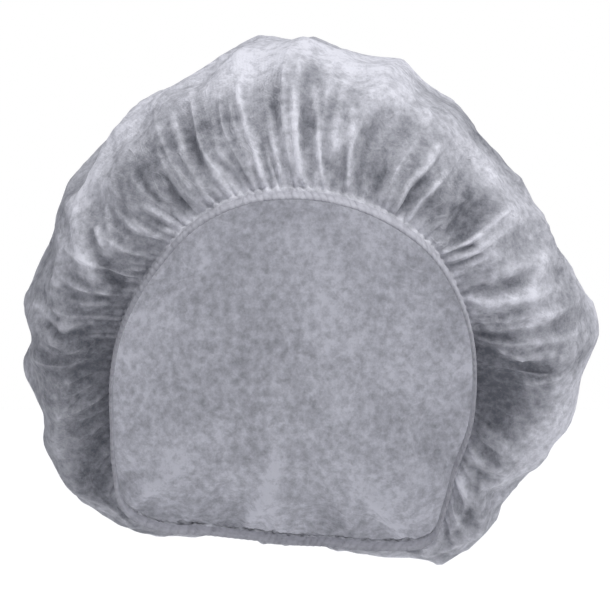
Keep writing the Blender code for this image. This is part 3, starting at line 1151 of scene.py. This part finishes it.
def puckered_hem():
    """The hem as one closed ring."""
    mesh = bmesh.new()
    bunched_and_painted_shading = mesh.verts.layers.float.new("bunched_and_painted_shading")
    flat = mesh.verts.layers.float_vector.new("flat")
    ring = bmesh.ops.create_circle(mesh, segments=HEM_SIDES, radius=0.1)
    upright = Matrix.Rotation(math.pi / 2, 3, "X")
    bmesh.ops.rotate(mesh, verts=ring["verts"], cent=(0, 0, 0), matrix=upright)
    bmesh.ops.translate(mesh, verts=ring["verts"], vec=(SPUN_RADIUS, 0, 0))
    bmesh.ops.spin(
        mesh,
        geom=mesh.verts[:] + mesh.edges[:],
        axis=(0, 0, 1),
        angle=math.tau,
        steps=HEM_STATIONS,
        use_merge=True,
    )
    rng = random.Random(5)
    depths = [rng.uniform(0.2, 1.3) for _ in range(PUCKERS)]
    for vertex in mesh.verts:
        turn = math.atan2(vertex.co.y, vertex.co.x) % math.tau
        clock = math.degrees(turn)
        out = math.hypot(vertex.co.x, vertex.co.y) - SPUN_RADIUS
        side = math.atan2(vertex.co.z, out)
        into_crown, away = hem_directions(clock)
        pucker = turn / math.tau * PUCKERS + 0.35 * math.sin(side)
        pucker += 0.5 * noise.noise(Vector((3 * math.cos(turn), 3 * math.sin(turn), 4.4)))
        valley = (1 - abs(math.sin(math.pi * pucker))) ** PUCKER_SHARPNESS
        valley *= depths[int(pucker) % PUCKERS]
        thickness = HEM_THICKNESS / 2 - PUCKER_DEPTH * valley
        width = HEM_WIDTH / 2 * (1 + 0.04 * math.sin(math.tau * pucker))
        vertex[flat] = (turn * OPENING_WIDTH / 2, side * HEM_WIDTH / 4, 0)
        at_edge = ease(-math.sin(side), 2 / 3, 1)
        vertex[bunched_and_painted_shading] = HEM_TONE - VALLEY_SHADE * valley - INNER_SHADE * at_edge
        vertex.co = hem_point(clock) + into_crown * math.sin(side) * width
        vertex.co += away * math.cos(side) * thickness
    bmesh.ops.recalc_face_normals(mesh, faces=mesh.faces)
    return mesh


hem = finished_object("puckered_hem", puckered_hem())
print("hem:", len(hem.data.polygons), "faces")

# %% [markdown]
# A finish is a graph of shader nodes, and most of its nodes are a noise, a sum or a range of
# numbers. A few helpers add such a node in one line, from numbers and other nodes' outputs.


# %% Helpers for shader nodes
def feed(tree, node, name, value):
    """Sets a node's input to a number, or links another node's output to it."""
    if isinstance(value, bpy.types.NodeSocket):
        tree.links.new(value, node.inputs[name])
    else:
        node.inputs[name].default_value = value


def math_node(tree, operation, *values):
    """The output of a node that works on numbers."""
    made = tree.nodes.new("ShaderNodeMath")
    made.operation = operation
    for i, value in enumerate(values):
        feed(tree, made, i, value)
    return made.outputs["Value"]


def noise_node(tree, place, scale, **settings):
    """The output of a noise texture, with its settings named in small letters."""
    made = tree.nodes.new("ShaderNodeTexNoise")
    feed(tree, made, "Vector", place)
    feed(tree, made, "Scale", scale)
    for name, value in settings.items():
        feed(tree, made, name.title(), value)
    return made.outputs["Fac"]


def range_node(tree, value, low, high, to_low=0.0, to_high=1.0, curve="LINEAR"):
    """The output of a node that maps one range of numbers onto another and stops at its ends."""
    made = tree.nodes.new("ShaderNodeMapRange")
    made.interpolation_type = curve
    names = ("Value", "From Min", "From Max", "To Min", "To Max")
    for name, given in zip(names, (value, low, high, to_low, to_high)):
        feed(tree, made, name, given)
    return made.outputs["Result"]


# %% [markdown]
# Nonwoven cloth is a mat of fine fibres, pressed together at a grid of tiny points. Its mat is
# thicker in some places, which gives it cloudy patches, and handling leaves thin creases. One
# node group makes this for both finishes. Its bond points and creases read the place on the flat
# disc, so they follow the cloth. Its clouds and fibres read the place in the finished cap, because
# gathering would squeeze them into streaks.

# %% Node group for nonwoven cloth
PATTERN_SCALES = {"Bond Scale": 600.0, "Cloud Scale": 260.0, "Crease Scale": 70.0}
FIBRE_SCALE = 900.0
CREASED_AREA_SCALE = 33.0
FIBRE_SHARE = 0.35  # of the mat's thickness; the clouds make the rest


def nonwoven_group():
    """Puts out how thick the mat is, how high its surface stands, and where it is creased."""
    group = bpy.data.node_groups.new("nonwoven_mat", "ShaderNodeTree")
    for name in ("Flat Place", "Place"):
        group.interface.new_socket(name=name, in_out="INPUT", socket_type="NodeSocketVector")
    for name, scale in PATTERN_SCALES.items():
        made = group.interface.new_socket(name=name, in_out="INPUT", socket_type="NodeSocketFloat")
        made.default_value = scale
    for name in ("Thickness", "Height", "Creases"):
        group.interface.new_socket(name=name, in_out="OUTPUT", socket_type="NodeSocketFloat")
    given = group.nodes.new("NodeGroupInput").outputs
    result = group.nodes.new("NodeGroupOutput").inputs

    clouds = noise_node(
        group, given["Place"], given["Cloud Scale"], detail=3.0, roughness=0.55
    )
    fibres = noise_node(
        group, given["Place"], FIBRE_SCALE, detail=4.0, roughness=0.7, distortion=0.4
    )
    cloudy = math_node(group, "MULTIPLY", clouds, 1 - FIBRE_SHARE)
    thickness = math_node(group, "MULTIPLY_ADD", fibres, FIBRE_SHARE, cloudy)
    group.links.new(thickness, result["Thickness"])

    winding = noise_node(
        group,
        given["Flat Place"],
        given["Crease Scale"],
        detail=2.0,
        roughness=0.45,
        distortion=0.8,
    )
    off_line = math_node(group, "ABSOLUTE", math_node(group, "SUBTRACT", winding, 0.5))
    lines = range_node(group, off_line, 0.045, 0.0, curve="SMOOTHSTEP")
    areas = noise_node(group, given["Flat Place"], CREASED_AREA_SCALE, detail=1.0)
    creases = math_node(group, "MULTIPLY", lines, range_node(group, areas, 0.38, 0.62))
    group.links.new(creases, result["Creases"])

    bonds = group.nodes.new("ShaderNodeTexVoronoi")
    feed(group, bonds, "Vector", given["Flat Place"])
    feed(group, bonds, "Scale", given["Bond Scale"])
    feed(group, bonds, "Randomness", 0.15)
    round_bonds = range_node(group, bonds.outputs["Distance"], 0.16, 0.34)
    height = math_node(group, "MULTIPLY_ADD", round_bonds, 0.5, fibres)
    height = math_node(group, "MULTIPLY_ADD", creases, 1.2, height)
    group.links.new(height, result["Height"])
    return group


mat_group = nonwoven_group()
print("mat:", len(mat_group.nodes), "nodes")

# %% [markdown]
# The cloth is matt and so thin that some light comes through it. Its colour runs from the grey
# of one thin layer to the near white of bunched cloth, and the number that sets it also holds
# the painted light and shade. The hem is two layers drawn together, with less of a range.

# %% Cloth finishes
THIN_CLOTH = (0.12, 0.125, 0.145)
BUNCHED_CLOTH = (0.79, 0.79, 0.85)
THIN_HEM = (0.20, 0.20, 0.23)
BUNCHED_HEM = (0.48, 0.48, 0.53)
CLOUDINESS = 0.24
CREASE_PALENESS = 0.12
BUMP_STRENGTH = 0.6
BUMP_HEIGHT = 0.0004


def cloth_finish(name, thin_colour, bunched_colour, see_through):
    """A matt cloth, paler where it is bunched and where light is painted, darker where shade is
    painted, that lets some light through.
    """
    made = bpy.data.materials.new(name)
    made.use_nodes = True
    tree = made.node_tree
    nodes, links = tree.nodes, tree.links
    shader = nodes["Principled BSDF"]
    shader.inputs["Roughness"].default_value = 0.85
    shader.inputs["Specular IOR Level"].default_value = 0.2
    flat = nodes.new("ShaderNodeAttribute")
    flat.attribute_name = "flat"
    bunched_and_painted_shading = nodes.new("ShaderNodeAttribute")
    bunched_and_painted_shading.attribute_name = "bunched_and_painted_shading"
    mat = nodes.new("ShaderNodeGroup")
    mat.node_tree = mat_group
    links.new(flat.outputs["Vector"], mat.inputs["Flat Place"])
    links.new(nodes.new("ShaderNodeTexCoord").outputs["Object"], mat.inputs["Place"])

    clouds = range_node(tree, mat.outputs["Thickness"], 0.35, 0.65, -CLOUDINESS, CLOUDINESS)
    pattern = math_node(tree, "MULTIPLY_ADD", mat.outputs["Creases"], CREASE_PALENESS, clouds)
    # the mottling shows less where the tone is darker, painted shade included
    showing = math_node(tree, "MULTIPLY_ADD", bunched_and_painted_shading.outputs["Fac"], 0.8, 0.45)
    mottled = math_node(tree, "MULTIPLY", pattern, showing)
    colour = nodes.new("ShaderNodeMix")
    colour.data_type = "RGBA"
    colour.inputs["A"].default_value = (*thin_colour, 1)
    colour.inputs["B"].default_value = (*bunched_colour, 1)
    paler = math_node(tree, "ADD", bunched_and_painted_shading.outputs["Fac"], mottled)
    links.new(paler, colour.inputs["Factor"])
    links.new(colour.outputs["Result"], shader.inputs["Base Color"])

    rough = nodes.new("ShaderNodeBump")
    rough.inputs["Strength"].default_value = BUMP_STRENGTH
    rough.inputs["Distance"].default_value = BUMP_HEIGHT
    links.new(mat.outputs["Height"], rough.inputs["Height"])
    links.new(rough.outputs["Normal"], shader.inputs["Normal"])

    through = nodes.new("ShaderNodeBsdfTranslucent")
    links.new(colour.outputs["Result"], through.inputs["Color"])
    mix = nodes.new("ShaderNodeMixShader")
    mix.inputs["Fac"].default_value = see_through
    links.new(shader.outputs["BSDF"], mix.inputs[1])
    links.new(through.outputs["BSDF"], mix.inputs[2])
    links.new(mix.outputs["Shader"], nodes["Material Output"].inputs["Surface"])
    return made


crown.data.materials.append(cloth_finish("nonwoven_cloth", THIN_CLOTH, BUNCHED_CLOTH, 0.35))
hem.data.materials.append(cloth_finish("hem_cloth", THIN_HEM, BUNCHED_HEM, 0.15))
print("finishes:", crown.data.materials[0].name, "and", hem.data.materials[0].name)

# %% [markdown]
# Each piece now rides on the cap's one body and stands for the solid that it replaces.

# %% Hand the pieces over
for piece, node, slot in ((crown, "crown", "nonwoven"), (hem, "elastic_hem", "hem")):
    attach(piece, "root")
    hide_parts(node)
